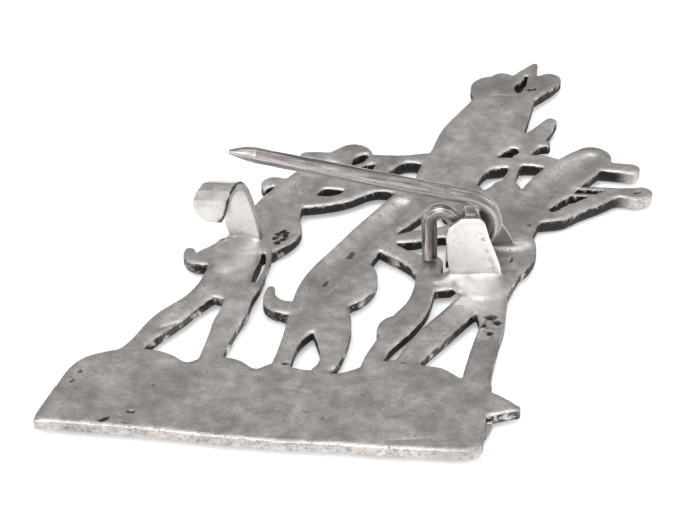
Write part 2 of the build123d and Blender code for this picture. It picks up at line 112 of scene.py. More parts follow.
PATINA = [  # x, y, radius, how much lighter (1) or darker (-1)
    (28.0, 30.0, 9.0, 0.55), (40.0, 50.0, 9.0, 0.75), (20.0, 42.0, 7.0, 0.35), (14.0, 16.0, 7.0, 0.6),
    (24.5, 15.0, 5.0, 0.3), (42.5, 14.0, 4.5, -0.6), (48.0, 44.0, 6.0, 0.3), (43.0, 61.5, 4.0, -0.2),
]
MELT_PASSES = 45               # smoothing passes that melt solder and hollows into the back
MELT_BAND = 0.75               # what melts lies this close to the height of the flat back, mm
SPREAD_PASSES = 10             # how many edges of the mesh the melting reaches past what stands off the back
FILLET_PASSES = 15             # smoothing passes that fill the corners under the strap and the catch
WEAR_BAND = 0.8                # pits and creases lie this close to the height of the flat back, mm
FINE_GRIME = 0.02              # places with more grime than this keep all their triangles
SHELTER_REACH = 2.2            # how far off a wall still shelters the skin beside it, mm
SHELTER_RAYS = 40
CUT_ANGLE = math.radians(-13.2)  # which way the catch's cut side faces
ROLLED_EDGE = 0.62             # how far in from the strap's right edge its rolled edge ends, mm


def linear(code):
    """Linear colour of an sRGB hex value."""
    parts = [int(code[i:i + 2], 16) / 255 for i in (1, 3, 5)]
    return [c / 12.92 if c <= 0.04045 else ((c + 0.055) / 1.055) ** 2.4 for c in parts] + [1.0]


def add(tree, kind, inputs=(), **settings):
    """Adds a node to a tree, with its settings and its inputs, which are values or links."""
    node = tree.nodes.new(kind)
    for name, value in settings.items():
        setattr(node, name, value)
    for key, value in dict(inputs).items():
        if isinstance(value, bpy.types.NodeSocket):
            tree.links.new(value, node.inputs[key])
        else:
            node.inputs[key].default_value = value
    return node


def settle(piece):
    """Makes the piece's modifiers into its plain mesh."""
    graph = bpy.context.evaluated_depsgraph_get()
    mesh = bpy.data.meshes.new_from_object(piece.evaluated_get(graph))
    piece.modifiers.clear()
    piece.data = mesh


def merged_copy(node, name):
    """A copy of a CAD node's skin as its own piece, with its loose triangles joined."""
    shell = bmesh.new()
    shell.from_mesh(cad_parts[node].data)
    bmesh.ops.remove_doubles(shell, verts=shell.verts, dist=MM * 1e-3)
    mesh = bpy.data.meshes.new(name)
    shell.to_mesh(mesh)
    shell.free()
    piece = bpy.data.objects.new(name, mesh)
    bpy.context.scene.collection.objects.link(piece)
    return piece


def points(mesh, what="co"):
    """Places or normals of a mesh's vertices as an array."""
    source = mesh.vertices if what == "co" else mesh.vertex_normals
    values = np.zeros(len(mesh.vertices) * 3, np.float32)
    source.foreach_get("co" if what == "co" else "vector", values)
    return values.reshape(-1, 3).astype(float)


def keep(mesh, name, values):
    """Stores one number for each vertex, for the material to read."""
    layer = mesh.attributes.new(name, "FLOAT", "POINT")
    layer.data.foreach_set("value", np.clip(values, 0, 1).astype(np.float32))


def ramp(values, start, end):
    """0 before start, 1 after end, and smooth between them."""
    share = np.clip((values - start) / (end - start), 0, 1)
    return share * share * (3 - 2 * share)


def ripple(place, size, seed):
    """Soft ragged noise about 0, from a few crossed waves of about one size in mm."""
    rng = np.random.default_rng(seed)
    total = np.zeros(len(place))
    for _ in range(9):
        way = rng.normal(size=3)
        way *= 2 * math.pi / size / np.linalg.norm(way) * rng.uniform(0.6, 1.6)
        total += np.sin(place @ way + rng.uniform(0, 2 * math.pi))
    return total / 3


def oval_reach(place, long, short, turn):
    """0 in the middle of a turned oval, 1 on its rim and more outside it."""
    c, s = math.cos(math.radians(turn)), math.sin(math.radians(turn))
    u, v = (place[0] * c + place[1] * s) / long, (place[1] * c - place[0] * s) / short
    return np.hypot(u, v)


def shelter(mesh, reach, rays):
    """How closed in each vertex is, from 0 in the open to 1 in a crevice, by rays of one length."""
    place, normal = points(mesh), points(mesh, "normal")
    tree = BVHTree.FromPolygons([tuple(p) for p in place], [tuple(f.vertices) for f in mesh.polygons])
    steps = np.arange(rays) + 0.5
    height, spin = 1 - 2 * steps / rays, steps * math.pi * (3 - math.sqrt(5))
    flat = np.sqrt(1 - height ** 2)
    ways = np.stack([flat * np.cos(spin), flat * np.sin(spin), height], 1)
    hidden, weight = np.zeros(len(place)), np.zeros(len(place))
    start = place + normal * reach * 0.02
    origins = [Vector(p) for p in start]
    for way in ways:
        facing = normal @ way
        ray = Vector(way)
        for i in np.nonzero(facing > 0.1)[0]:
            if tree.ray_cast(origins[i], ray, reach)[0] is not None:
                hidden[i] += facing[i]
        weight += np.where(facing > 0.1, facing, 0)
    return hidden / np.maximum(weight, 1e-6)


casting = merged_copy("badge_plate", "badge_casting")
skin = casting.modifiers.new("skin", "REMESH")
skin.mode = "VOXEL"
skin.voxel_size = VOXEL * MM
round_off = casting.modifiers.new("round_off", "SMOOTH")
round_off.factor = 0.5
round_off.iterations = ROUNDING
settle(casting)

# Hand filing leaves low waves and a fine grain over the whole skin.
waves = bpy.data.node_groups.new("filed_surface", "GeometryNodeTree")
waves.interface.new_socket("Geometry", in_out="INPUT", socket_type="NodeSocketGeometry")
for name, value in (("Wave length", 4.5 * MM), ("Wave height", 0.035 * MM), ("Grain length", 0.7 * MM),
                    ("Grain height", 0.014 * MM)):
    waves.interface.new_socket(name, in_out="INPUT", socket_type="NodeSocketFloat").default_value = value
waves.interface.new_socket("Geometry", in_out="OUTPUT", socket_type="NodeSocketGeometry")
group_in = add(waves, "NodeGroupInput")
place_in = add(waves, "GeometryNodeInputPosition")
total = None
for size, height in (("Wave length", "Wave height"), ("Grain length", "Grain height")):
    often = add(waves, "ShaderNodeMath", {0: 1.0, 1: group_in.outputs[size]}, operation="DIVIDE")
    noise = add(waves, "ShaderNodeTexNoise", {"Vector": place_in.outputs[0], "Scale": often.outputs[0],
                                              "Detail": 2.0})
    middle = add(waves, "ShaderNodeMath", {0: noise.outputs[0], 1: 0.5}, operation="SUBTRACT")
    lift = add(waves, "ShaderNodeMath", {0: middle.outputs[0], 1: group_in.outputs[height]}, operation="MULTIPLY")
    if total:
        total = add(waves, "ShaderNodeMath", {0: total.outputs[0], 1: lift.outputs[0]}, operation="ADD")
    else:
        total = lift
outward = add(waves, "ShaderNodeVectorMath", {0: add(waves, "GeometryNodeInputNormal").outputs[0],
                                              "Scale": total.outputs[0]}, operation="SCALE")
moved = add(waves, "GeometryNodeSetPosition", {"Geometry": group_in.outputs[0], "Offset": outward.outputs[0]})
add(waves, "NodeGroupOutput", {0: moved.outputs[0]})
filing = casting.modifiers.new("filing", "NODES")
filing.node_group = waves
settle(casting)


def from_foot(at):
    """Places measured from the tail's foot: along the pin, across it and above the back."""
    cos_t, sin_t = math.cos(CROSS_ANGLE), math.sin(CROSS_ANGLE)
    x, y = at[:, 0] - FOOT[0], at[:, 1] - FOOT[1]
    return np.stack([x * cos_t + y * sin_t, y * cos_t - x * sin_t, at[:, 2] - BACK], 1)


def run_distance(at, rows):
    """Distance of each point from the line through rows, up to 9 mm."""
    least = np.full(len(at), 9.0)
    for first, last in zip(rows, rows[1:]):
        first, run = np.array(first), np.subtract(last, first)
        share = np.clip((at - first) @ run / (run @ run), 0, 1)
        least = np.minimum(least, np.linalg.norm(at - first - share[:, None] * run, axis=1))
    return least


def worn_places(at, on_back):
    """How far each point sinks into a pit or crease, in mm, and how much grime it holds."""
    ragged = ripple(at * (1, 1, 0), 0.7, 3) * 0.22
    sink, grime_and_shade = np.zeros(len(at)), np.zeros(len(at))
    for x, y, long, short, turn, depth in PITS:
        near = np.nonzero((np.abs(at[:, 0] - x) < 2) & (np.abs(at[:, 1] - y) < 2))[0]
        far = oval_reach((at[near, 0] - x, at[near, 1] - y), long, short, turn) + ragged[near]
        bowl = 1 - ramp(far, 0.1, 0.85)
        sink[near] = np.maximum(sink[near], bowl * depth * on_back[near])
        grime_and_shade[near] = np.maximum(grime_and_shade[near], (1 - ramp(far, 0.9, 1.4)) * min(1, depth * 9) * on_back[near])
    for x0, y0, x1, y1, half, depth in CREASES:
        run = np.array([x1 - x0, y1 - y0])
        share = np.clip(((at[:, :2] - (x0, y0)) @ run) / (run @ run), 0, 1)
        far = run_distance(at[:, :2], [(x0, y0), (x1, y1)])
        fade = np.sqrt(np.clip(4 * share * (1 - share), 0, 1))
        sink = np.maximum(sink, (1 - ramp(far, 0, half * 2)) * fade * on_back * depth)
        grime_and_shade = np.maximum(grime_and_shade, (1 - ramp(far + ragged * 0.4, 0, half)) * fade * on_back * min(1, depth * 4))
    return sink, grime_and_shade


spots, facing = points(casting.data), points(casting.data, "normal")
at = (spots - np.array(corner)) / MM

# The strap's front leg is a round-topped tongue, fuller on its left than the run of its arch.
along, across, rise = from_foot(at).T
heights, left_edges, right_edges, fuller = np.array(FRONT_LEG).T
old_left, old_right = np.interp(rise, heights, left_edges), np.interp(rise, heights, right_edges)
share = np.clip((along - old_left) / (old_right - old_left), 0, 1)
on_strap = (rise > 3.4) * (along > 0.5) * (along < 8)
bend, reach, top = LEG_CORNER
lift = top * np.maximum(0, 1 - ((across - bend) / reach) ** 2) ** 2 * ramp(rise, 4.2, 5.6) * on_strap
push = (np.interp(rise + lift, heights, fuller) - old_left) * (1 - share) * ramp(-across, 0.85, 1.4) * on_strap
spots[:, :2] += push[:, None] * np.array([math.cos(CROSS_ANGLE), math.sin(CROSS_ANGLE)]) * MM
spots[:, 2] += lift * MM
at = (spots - np.array(corner)) / MM
beside_pin = from_foot(at)
corner_fill = np.zeros(len(at))
for rows in FILLETS:
    corner_fill = np.maximum(corner_fill, 1 - ramp(run_distance(beside_pin, rows), 0.5, 1.1))
pairs = np.zeros(len(casting.data.edges) * 2, np.int64)
casting.data.edges.foreach_get("vertices", pairs)
one, other = pairs.reshape(-1, 2).T
neighbours = np.bincount(one, minlength=len(at)) + np.bincount(other, minlength=len(at))
for _ in range(FILLET_PASSES):
    for axis in range(3):
        mean = np.bincount(one, spots[other, axis], len(at)) + np.bincount(other, spots[one, axis], len(at))
        spots[:, axis] += (mean / neighbours - spots[:, axis]) * corner_fill * 0.8
at = (spots - np.array(corner)) / MM
level = ramp(facing[:, 2], 0.3, 0.7) * (np.abs(at[:, 2] - BACK) < MELT_BAND)
lifted = level * ramp(np.abs(at[:, 2] - BACK), 0.02, 0.1)
for _ in range(SPREAD_PASSES):
    spread = np.bincount(one, lifted[other], len(at)) + np.bincount(other, lifted[one], len(at))
    lifted = np.maximum(lifted, spread / neighbours)
melt = ramp(lifted, 0.02, 0.3) * level
for _ in range(MELT_PASSES):
    mean = np.bincount(one, spots[other, 2], len(at)) + np.bincount(other, spots[one, 2], len(at))
    spots[:, 2] += (mean / neighbours - spots[:, 2]) * melt
at[:, 2] = spots[:, 2] / MM
near_back = np.abs(at[:, 2] - BACK) < WEAR_BAND
sink, grime_and_shade = worn_places(at, ramp(facing[:, 2], 0.35, 0.8) * near_back)
spots[:, 2] = np.maximum(spots[:, 2] - sink * MM, 0)
casting.data.vertices.foreach_set("co", spots.astype(np.float32).ravel())
coarse = casting.vertex_groups.new(name="coarse")
coarse.add(np.nonzero(grime_and_shade < FINE_GRIME)[0].tolist(), 1.0, "REPLACE")
thin = casting.modifiers.new("thin", "DECIMATE")
thin.vertex_group = "coarse"
thin.ratio = min(1.0, CASTING_TRIANGLES / 2 / len(casting.data.polygons))
settle(casting)
casting.data.shade_smooth()

spots, facing = points(casting.data), points(casting.data, "normal")
at = (spots - np.array(corner)) / MM
beside_pin = from_foot(at)
along, across, rise = beside_pin.T
ragged = ripple(at, 1.1, 5)

# Where the skin is solder, and where grime has settled, both with ragged edges.
solder = ramp(rise + ragged * 0.08, 0.2, 0.6)
for x, y, half in POOLS:
    far = np.hypot(at[:, 0] - x, at[:, 1] - y) + ragged * 0.3
    solder = np.maximum(solder, (1 - ramp(far, half * 0.75, half * 1.25)) * ramp(at[:, 2], 0.9, 1.5))
keep(casting.data, "solder", solder)
sink, grime_and_shade = worn_places(at, (np.abs(rise) < WEAR_BAND).astype(float))
for x, y, wide, high in CRUSTS:
    far = np.hypot((at[:, 0] - x) / wide, (at[:, 1] - y) / high) + ripple(at * (1, 1, 0), 1.2, 8) * 0.15
    rough = ramp(ripple(at * (1, 1, 0), 0.42, 9), 0.1, 0.6) * (np.abs(rise) < 0.5)
    grime_and_shade = np.maximum(grime_and_shade, (1 - ramp(far, 0.5, 1.1)) * rough * (0.9 if high > 1 else 0.3))
for rows, half in BURRS:
    grime_and_shade = np.maximum(grime_and_shade, 1 - ramp(run_distance(beside_pin, rows) + ragged * 0.05, half * 0.6, half * 1.6))

# The strap: a painted shade line beside its rolled right edge, and painted shade on its inner side under the pin.
from_right = np.interp(rise, heights, right_edges) - along
in_front = ramp(-across, 1.0, 1.5) * (np.abs(along - 4.5) < 4.5) * ramp(rise, 0.6, 1.2)
# A painted shade line where the face turns into the rolled edge, stored with the grime.
rolled_edge_shade = (1 - ramp(np.abs(from_right - ROLLED_EDGE + ragged * 0.04), 0.03, 0.16)) * in_front
grime_and_shade = np.maximum(grime_and_shade, 0.5 * rolled_edge_shade * (1 - ramp(rise, 4.9, 5.5)))
keep(casting.data, "grime_and_shade", grime_and_shade)
to_front = facing @ np.array([math.sin(CROSS_ANGLE), -math.cos(CROSS_ANGLE), 0])
# Painted shade on the inner face of the strap's back leg, under the pin, in the grey that also colours the catch's
# cut side.
inside = (np.abs(along - 5.5) < 4.5) * ramp(across, 0.6, 1.0) * ramp(rise, 0.1, 0.4) * ramp(to_front, 0.3, 0.7)
keep(casting.data, "inside", inside)

# The catch: a white leg with a cut grey side. Faces of the catch's leg and the strap's front that are not turned up
# are painted whiter as painted light, and the level tops and the curled barrel are painted darker as painted shade.
barrel = ramp(-along, 20.1, 20.6) * ramp(rise, 2.5, 3.5)
# Painted shade: faces turned up on the strap's crown and the catch's barrel, and the barrel all over, are made
# darker.
keep(casting.data, "top_shade", np.maximum(ramp(facing[:, 2], 0.4, 0.75) * ramp(rise, 4.0, 5.0), 0.6 * barrel))
catch_leg = ramp(-along, 14, 15) * (1 - barrel) * ramp(rise, 0.6, 1.4)
# Painted light: the solder on faces not turned up, on the catch's leg and the strap's front, is made whiter.
keep(casting.data, "lit_face_white", solder * np.maximum(catch_leg, 0.75 * in_front) * (1 - ramp(facing[:, 2], 0.4, 0.75)))
keep(casting.data, "run_out", solder * (1 - ramp(rise, 0.35, 1.0)) * ramp(facing[:, 2], 0.0, 0.3))
cut_way = np.array([math.cos(CUT_ANGLE), math.sin(CUT_ANGLE), 0.2])
keep(casting.data, "cut_side", ramp(facing @ cut_way, 0.75, 0.92) * (along < -14) * ramp(rise, 0.2, 0.6))

# The walls: the mould's black skin with painted shade over it where they are closed in, darker towards the top of the
# badge, and nearly clean round the ground strip.
# The shelter value is an occlusion mask; the material paints shade on the walls from it.
keep(casting.data, "shelter", shelter(casting.data, SHELTER_REACH * MM, SHELTER_RAYS))
wall = (1 - ramp(facing[:, 2], 0.3, 0.7)) * (1 - ramp(rise + ragged * 0.07, -0.2, -0.05))
keep(casting.data, "wall", wall)
keep(casting.data, "upper_wall", wall * ramp(at[:, 1], 26, 33))
keep(casting.data, "strip_edge", (1 - ramp(at[:, 1], 1.2, 2.2)) + ramp(at[:, 0], 53.5, 55.5))
patina = np.full(len(at), 0.5)
for x, y, radius, change in PATINA:
    patina += change * 0.5 * (1 - ramp(np.hypot(at[:, 0] - x, at[:, 1] - y) + ragged, radius * 0.5, radius * 1.2))
keep(casting.data, "patina", patina)

# Cast pewter, filed and rubbed: a satin mid grey that is mottled warm and green, with fine pits and hairlines.
# The walls are coal black, partly the mould's skin and grime and partly painted shade where they are closed in, and
# the edges over them are rubbed bright.
pewter = bpy.data.materials.new("cast_pewter_tarnished_with_painted_shade")
pewter.use_nodes = True
tree = pewter.node_tree
tree.nodes.clear()
where = add(tree, "ShaderNodeTexCoord").outputs["Object"]


def blotches(size, detail, rough, low, high, offset=0.0):
    """Noise of one size in mm, read between two levels."""
    shift = add(tree, "ShaderNodeVectorMath", {0: where, 1: (offset, offset, offset)}, operation="ADD")
    noise = add(tree, "ShaderNodeTexNoise", {"Vector": shift.outputs[0], "Scale": 1 / (size * MM), "Detail": detail,
                                             "Roughness": rough})
    level = add(tree, "ShaderNodeMapRange", {"Value": noise.outputs[0], "From Min": low, "From Max": high},
                interpolation_type="SMOOTHSTEP")
    return level.outputs[0]


TIMES = {"operation": "MULTIPLY"}
TIMES_PLUS = {"operation": "MULTIPLY_ADD"}
HELD_TIMES_PLUS = {"operation": "MULTIPLY_ADD", "use_clamp": True}  # held between 0 and 1
DARKER = {"operation": "MAXIMUM"}
marks = {name: add(tree, "ShaderNodeAttribute", attribute_name=name).outputs["Fac"]
         for name in ("solder", "grime_and_shade", "inside", "top_shade", "lit_face_white", "run_out", "cut_side", "shelter",
                      "wall", "upper_wall", "strip_edge", "patina")}

# The filed metal: clouds of two sizes, a greenish cast in places, and areas that are rubbed lighter or left darker.
tone = linear(PEWTER_LIGHT)
for share, part, shade in (
        (blotches(3.2, 5.0, 0.62, 0.68, 0.32), 1.0, PEWTER_DARK),
        (blotches(11.0, 2.0, 0.5, 0.5, 0.68, 0.3), 0.4, PEWTER_GREEN),
        (blotches(0.75, 4.0, 0.7, 0.3, 0.7, 0.8), 0.5, PEWTER_DARK)):
    share = add(tree, "ShaderNodeMath", {0: share, 1: part}, **TIMES).outputs[0]
    tone = add(tree, "ShaderNodeMix", {0: share, 6: tone, 7: linear(shade)}, data_type="RGBA").outputs[2]
rubbed = add(tree, "ShaderNodeMapRange", {"Value": marks["patina"], "To Min": 0.72, "To Max": 1.28}).outputs[0]
tone = add(tree, "ShaderNodeVectorMath", {0: tone, "Scale": rubbed}, operation="SCALE").outputs[0]

# The black on the walls: the mould's skin and painted shade, most of it in crevices found by the shelter rays, and
# only marks of it along the ground strip's edge.
skin_noise = blotches(1.3, 4.0, 0.66, 0.36, 0.5, 0.5)
skin_and_shade = add(tree, "ShaderNodeMath", {0: skin_noise, 1: 0.9}, **TIMES).outputs[0]
skin_and_shade = add(tree, "ShaderNodeMath", {0: marks["shelter"], 1: 1.9, 2: skin_and_shade}, **HELD_TIMES_PLUS).outputs[0]
scallops = blotches(2.6, 2.0, 0.5, 0.4, 0.5, 0.35)
scallops = add(tree, "ShaderNodeMath", {0: scallops, 1: 0.75, 2: 0.25}, **HELD_TIMES_PLUS).outputs[0]
skin_and_shade = add(tree, "ShaderNodeMath", {0: marks["upper_wall"], 1: scallops, 2: skin_and_shade}, **HELD_TIMES_PLUS).outputs[0]
off_strip = add(tree, "ShaderNodeMath", {0: marks["strip_edge"], 1: -0.93, 2: 1.0}, **HELD_TIMES_PLUS).outputs[0]
skin_and_shade = add(tree, "ShaderNodeMath", {0: skin_and_shade, 1: off_strip}, **TIMES).outputs[0]
edge_marks = blotches(0.55, 4.0, 0.7, 0.5, 0.66, 0.45)
edge_marks = add(tree, "ShaderNodeMath", {0: edge_marks, 1: marks["strip_edge"]}, **TIMES).outputs[0]
skin_and_shade = add(tree, "ShaderNodeMath", {0: edge_marks, 1: 0.4, 2: skin_and_shade}, **TIMES_PLUS).outputs[0]
skin_and_shade = add(tree, "ShaderNodeMath", {0: skin_and_shade, 1: marks["wall"]}, operation="MULTIPLY", use_clamp=True).outputs[0]

# Grime in the pits and seams, the painted shade line beside the strap's rolled edge, and black specks over the back,
# fewer on the solder.
flecks = blotches(0.3, 3.0, 0.6, 0.35, 0.6, 0.2)
flecks = add(tree, "ShaderNodeMath", {0: flecks, 1: 0.75}, operation="ADD", use_clamp=True).outputs[0]
caked_and_shade = add(tree, "ShaderNodeMath", {0: marks["grime_and_shade"], 1: flecks}, **TIMES).outputs[0]
specks = add(tree, "ShaderNodeMath", {0: blotches(0.28, 2.0, 0.6, 0.57, 0.66, 0.1),
                                      1: blotches(2.2, 3.0, 0.5, 0.4, 0.56, 0.7)}, **TIMES).outputs[0]
fewer = add(tree, "ShaderNodeMath", {0: marks["solder"], 1: -0.4, 2: 0.6}, **TIMES_PLUS).outputs[0]
specks = add(tree, "ShaderNodeMath", {0: specks, 1: fewer}, **TIMES).outputs[0]
black = add(tree, "ShaderNodeMath", {0: skin_and_shade, 1: caked_and_shade}, **DARKER).outputs[0]
black = add(tree, "ShaderNodeMath", {0: black, 1: specks}, **DARKER).outputs[0]

# The solder over the pewter, dull where it ran out over the back and with painted shade on the level tops, then the
# strap and the catch with their painted shade and painted light, and the black on top.
run_out = add(tree, "ShaderNodeMix", {0: blotches(1.7, 5.0, 0.62, 0.42, 0.66, 0.6), 6: linear(SOLDER_BRIGHT),
                                      7: linear(SOLDER_DULL)}, data_type="RGBA").outputs[2]
tone = add(tree, "ShaderNodeMix", {0: marks["solder"], 6: tone, 7: run_out}, data_type="RGBA").outputs[2]
run_out_and_top_shade = add(tree, "ShaderNodeMath", {0: marks["run_out"], 1: marks["top_shade"]}, operation="ADD").outputs[0]
for share, part, shade in (
        (run_out_and_top_shade, 0.55, PEWTER_DARK), (marks["inside"], 0.85, CUT_GREY_AND_SHADE), (marks["lit_face_white"], 1.0, LIT_SOLDER_WHITE),
        (marks["cut_side"], 0.5, CUT_GREY_AND_SHADE), (black, 1.0, BLACK_SKIN_AND_SHADE)):
    share = add(tree, "ShaderNodeMath", {0: share, 1: part}, **TIMES).outputs[0]
    tone = add(tree, "ShaderNodeMix", {0: share, 6: tone, 7: linear(shade)}, data_type="RGBA").outputs[2]
gloss = 0.36
for share, change in ((blotches(1.4, 4.0, 0.6, 0.3, 0.7, 0.4), 0.14), (marks["solder"], -0.08),
                      (marks["lit_face_white"], 0.12), (marks["run_out"], 0.16), (black, 0.25)):
    gloss = add(tree, "ShaderNodeMath", {0: share, 1: change, 2: gloss}, **HELD_TIMES_PLUS).outputs[0]
metal = add(tree, "ShaderNodeMath", {0: black, 1: -0.75, 2: 1.0}, **HELD_TIMES_PLUS).outputs[0]
cast_skin = add(tree, "ShaderNodeMath", {0: skin_noise, 1: marks["wall"]}, **TIMES).outputs[0]
lumps = 0.0
for share, high in ((blotches(0.22, 3.0, 0.6, 0.2, 0.8, 0.9), 0.45), (blotches(1.3, 3.0, 0.55, 0.2, 0.8, 0.15), 0.7),
                    (cast_skin, 3.0)):
    lumps = add(tree, "ShaderNodeMath", {0: share, 1: high, 2: lumps}, **TIMES_PLUS).outputs[0]
bumps = add(tree, "ShaderNodeBump", {"Height": lumps, "Distance": 0.03 * MM, "Strength": 0.9})
shader = add(tree, "ShaderNodeBsdfPrincipled", {"Base Color": tone, "Metallic": metal, "Roughness": gloss,
                                                "Normal": bumps.outputs[0]})
add(tree, "ShaderNodeOutputMaterial", {"Surface": shader.outputs[0]})
casting.data.materials.clear()
casting.data.materials.append(pewter)
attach(casting, "badge")
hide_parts("badge_plate")

# The pin: one length of drawn nickel-silver wire, bent over into a short tail, looped through the strap and
# led out straight to a point that is cut at a slant. It is loose in the strap and swings towards the catch.
WIRE = 1.62
GAP = 0.35                     # free space under the tail's foot, mm
TAIL_TOP = (-0.14, 5.15)       # places on the pin are (along, rise) from the tail's foot, mm
BEND_END = (1.85, 5.98)
LOOP = [(2.75, 4.95), (3.4, 4.1), (4.15, 3.35), (5.05, 2.9), (5.95, 3.25), (6.45, 4.25), (6.48, 5.4), (6.1, 6.5),
        (5.4, 7.35), (4.4, 7.95), (3.0, 8.38)]
PIN_START = (1.6, 8.68)
PIN_TIP = (-20.2, 13.92)
POINT = [(0.0, 0.0, 0.79), (0.9, 0.03, 0.7), (1.8, 0.1, 0.5), (2.6, 0.2, 0.24)]  # along the taper, drop, radius
TAIL_END = (0.12, 0.04)        # how far the tail's last two rings draw in, mm
DIE_WAVES = [(0.012, 1.9, 2, 0.0), (0.008, 0.83, -3, 1.0)]  # height, how often, lobes round the wire, start
DRAWN_IN = 0.012               # the skin's mean lies this far inside the solid wire, mm
SIDES = 56
RING_STEP = 0.11               # distance between the rings of the skin, mm
POINT_RINGS = 25
ARC_STEPS = 24
RUN_STEPS = 12


def unit(v):
    """A vector of length 1."""
    return np.asarray(v, float) / np.linalg.norm(v)


def tangent_arc(start, way, end, steps):
    """Points on the arc from start, leaving along way, to end, and its direction there."""
    start, end, way = np.array(start), np.array(end), unit(way)
    side = np.array([way[1], -way[0]])
    chord = end - start
    radius = (chord @ chord) / (2 * chord @ side)
    centre = start + side * radius
    first, last = math.atan2(*(start - centre)[::-1]), math.atan2(*(end - centre)[::-1])
    if radius > 0 and last > first:
        last -= 2 * math.pi
    angles = np.linspace(first, last, steps)
    leave = np.array([math.sin(last), -math.cos(last)])
    return centre + abs(radius) * np.stack([np.cos(angles), np.sin(angles)], 1), leave


def smooth_run(rows, first_way, last_way, steps):
    """Points on the smooth curve through rows that has these directions at its ends."""
    rows = np.array(rows, float)
    gaps = np.linalg.norm(np.diff(rows, axis=0), axis=1)
    n = len(rows)
    system, right = np.zeros((n, n)), np.zeros((n, 2))
    system[0, 0] = system[-1, -1] = 1
    right[0], right[-1] = unit(first_way), unit(last_way)
    for i in range(1, n - 1):
        a, b = gaps[i - 1], gaps[i]
        system[i, i - 1], system[i, i], system[i, i + 1] = b, 2 * (a + b), a
        right[i] = 3 * (b / a * (rows[i] - rows[i - 1]) + a / b * (rows[i + 1] - rows[i]))
    ways = np.linalg.solve(system, right)
    found = []
    for i in range(n - 1):
        for u in np.arange(steps) / steps:
            h = gaps[i]
            found.append(rows[i] * (1 + 2 * u) * (1 - u) ** 2 + rows[i + 1] * u * u * (3 - 2 * u)
                         + ways[i] * h * u * (1 - u) ** 2 - ways[i + 1] * h * u * u * (1 - u))
    return np.array(found)


start, tip = np.array(PIN_START), np.array(PIN_TIP)
aim = unit(tip - start)
shoulder = tip - aim * POINT[-1][0]
arc, leave = tangent_arc(TAIL_TOP, np.array(TAIL_TOP) - (0, GAP), BEND_END, ARC_STEPS)
round_strap = smooth_run([BEND_END, *LOOP, PIN_START], leave, aim, RUN_STEPS)
route = np.concatenate([[(0, GAP)], arc[:-1], round_strap, [shoulder]])
lengths = np.concatenate([[0], np.cumsum(np.linalg.norm(np.diff(route, axis=0), axis=1))])
stations = np.linspace(0, lengths[-1], int(lengths[-1] / RING_STEP))
spine = np.stack([np.interp(stations, lengths, route[:, i]) for i in (0, 1)], 1)
for _ in range(2):
    spine[1:-1] = (spine[:-2] + 2 * spine[1:-1] + spine[2:]) / 4
radii = np.full(len(spine), WIRE / 2)
taper = np.array(POINT)
past = np.linspace(0, POINT[-1][0], POINT_RINGS + 1)[1:]
point_spine = shoulder + past[:, None] * aim - np.stack([0 * past, np.interp(past, taper[:, 0], taper[:, 1])], 1)
spine = np.concatenate([spine, point_spine])
radii = np.concatenate([radii, np.interp(past, taper[:, 0], taper[:, 2])])
radii[:2] -= TAIL_END
travel = np.concatenate([[0], np.cumsum(np.linalg.norm(np.diff(spine, axis=0), axis=1))])
ahead = np.gradient(spine, axis=0)
ahead /= np.linalg.norm(ahead, axis=1)[:, None]
ahead[-len(past):] = aim

turns = np.arange(SIDES) * 2 * math.pi / SIDES
rings = []
for i, ((along, up), (ax, az), radius) in enumerate(zip(spine, ahead, radii)):
    wobble = sum(high * np.sin(travel[i] * often + lobes * turns + first) for high, often, lobes, first in DIE_WAVES)
    reach = radius + wobble * min(1.0, radius / 0.5) - DRAWN_IN
    across, lifted = reach * np.cos(turns), reach * np.sin(turns)
    rings.append(np.stack([along - az * lifted, across, up + ax * lifted], 1))
rings = np.array(rings)
cos_t, sin_t = math.cos(CROSS_ANGLE), math.sin(CROSS_ANGLE)
flat = rings.reshape(-1, 3)
world = np.stack([FOOT[0] + flat[:, 0] * cos_t - flat[:, 1] * sin_t,
                  FOOT[1] + flat[:, 0] * sin_t + flat[:, 1] * cos_t, BACK + flat[:, 2]], 1) * MM + np.array(corner)
count = len(rings)
faces = []
for i in range(count - 1):
    for j in range(SIDES):
        k = (j + 1) % SIDES
        faces.append((i * SIDES + j, i * SIDES + k, (i + 1) * SIDES + k, (i + 1) * SIDES + j))
heel, nose = len(world), len(world) + 1
world = np.concatenate([world, [world[:SIDES].mean(0)], [world[-SIDES:].mean(0)]])
for j in range(SIDES):
    k = (j + 1) % SIDES
    faces.append((heel, k, j))
    faces.append((nose, (count - 1) * SIDES + j, (count - 1) * SIDES + k))
pin_mesh = bpy.data.meshes.new("pin_wire_drawn")
pin_mesh.from_pydata(world.tolist(), [], faces)
shell = bmesh.new()
shell.from_mesh(pin_mesh)
bmesh.ops.recalc_face_normals(shell, faces=shell.faces)
shell.to_mesh(pin_mesh)
shell.free()
pin_mesh.shade_smooth()
pin = bpy.data.objects.new("pin_wire_drawn", pin_mesh)
bpy.context.scene.collection.objects.link(pin)
angle = np.concatenate([np.tile(turns, count), [0, 0]])
down = np.concatenate([np.repeat(travel, SIDES), [0, travel[-1]]])
for name, values in (("round_cos", np.cos(angle)), ("round_sin", np.sin(angle)), ("travel", down)):
    layer = pin_mesh.attributes.new(name, "FLOAT", "POINT")
    layer.data.foreach_set("value", values.astype(np.float32))

